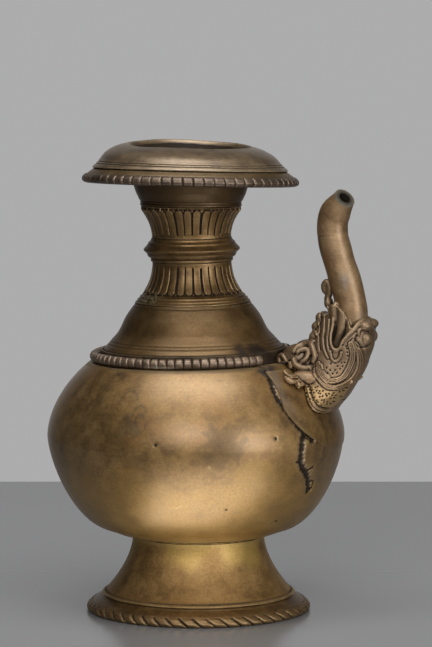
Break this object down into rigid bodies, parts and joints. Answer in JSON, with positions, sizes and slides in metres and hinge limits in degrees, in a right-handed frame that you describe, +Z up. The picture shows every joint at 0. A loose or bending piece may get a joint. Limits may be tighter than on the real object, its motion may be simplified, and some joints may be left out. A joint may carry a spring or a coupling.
{
  "type": "spouted ritual water pot",
  "caption": "Squat globular brass ewer on a splayed foot, with a beaded collar, a waisted petalled neck, a wide domed rim and a spout that rises from a makara's jaws.",
  "frame": {"origin": "on the ground, under the middle of the pot's length and width", "axes": "+Z up along the pot's axis; +X towards the spout's side; +Y to the spout's left as seen from above with the spout pointing right"},
  "size_m": [0.1656, 0.1486, 0.2345],
  "materials": {
    "old_brass": "hand-raised brass with a worn brown-gold patina and fine turning marks",
    "dark_brass": "cast or turned brass, dark brown in its grooves",
    "copper_brass": "cast copper-rich brass with grime in the relief",
    "fresh_brass": "thin braze ring, yellower than the pieces it joins"
  },
  "bodies": {
    "root": {"foot_flare": "old_brass", "foot_rope_border": "dark_brass", "foot_braze_seam": "fresh_brass", "body_shell": "old_brass", "bead_collar": "dark_brass", "shoulder_bell": "dark_brass", "lower_neck_petals": "old_brass", "neck_knop": "dark_brass", "upper_neck_petals": "old_brass", "mouth_funnel": "dark_brass", "rim_dome": "old_brass", "rim_bead_border": "old_brass", "spout_saddle": "old_brass", "makara_head": "copper_brass", "spout_tube": "copper_brass", "spout_tip": "copper_brass"}
  },
  "joints": []
}
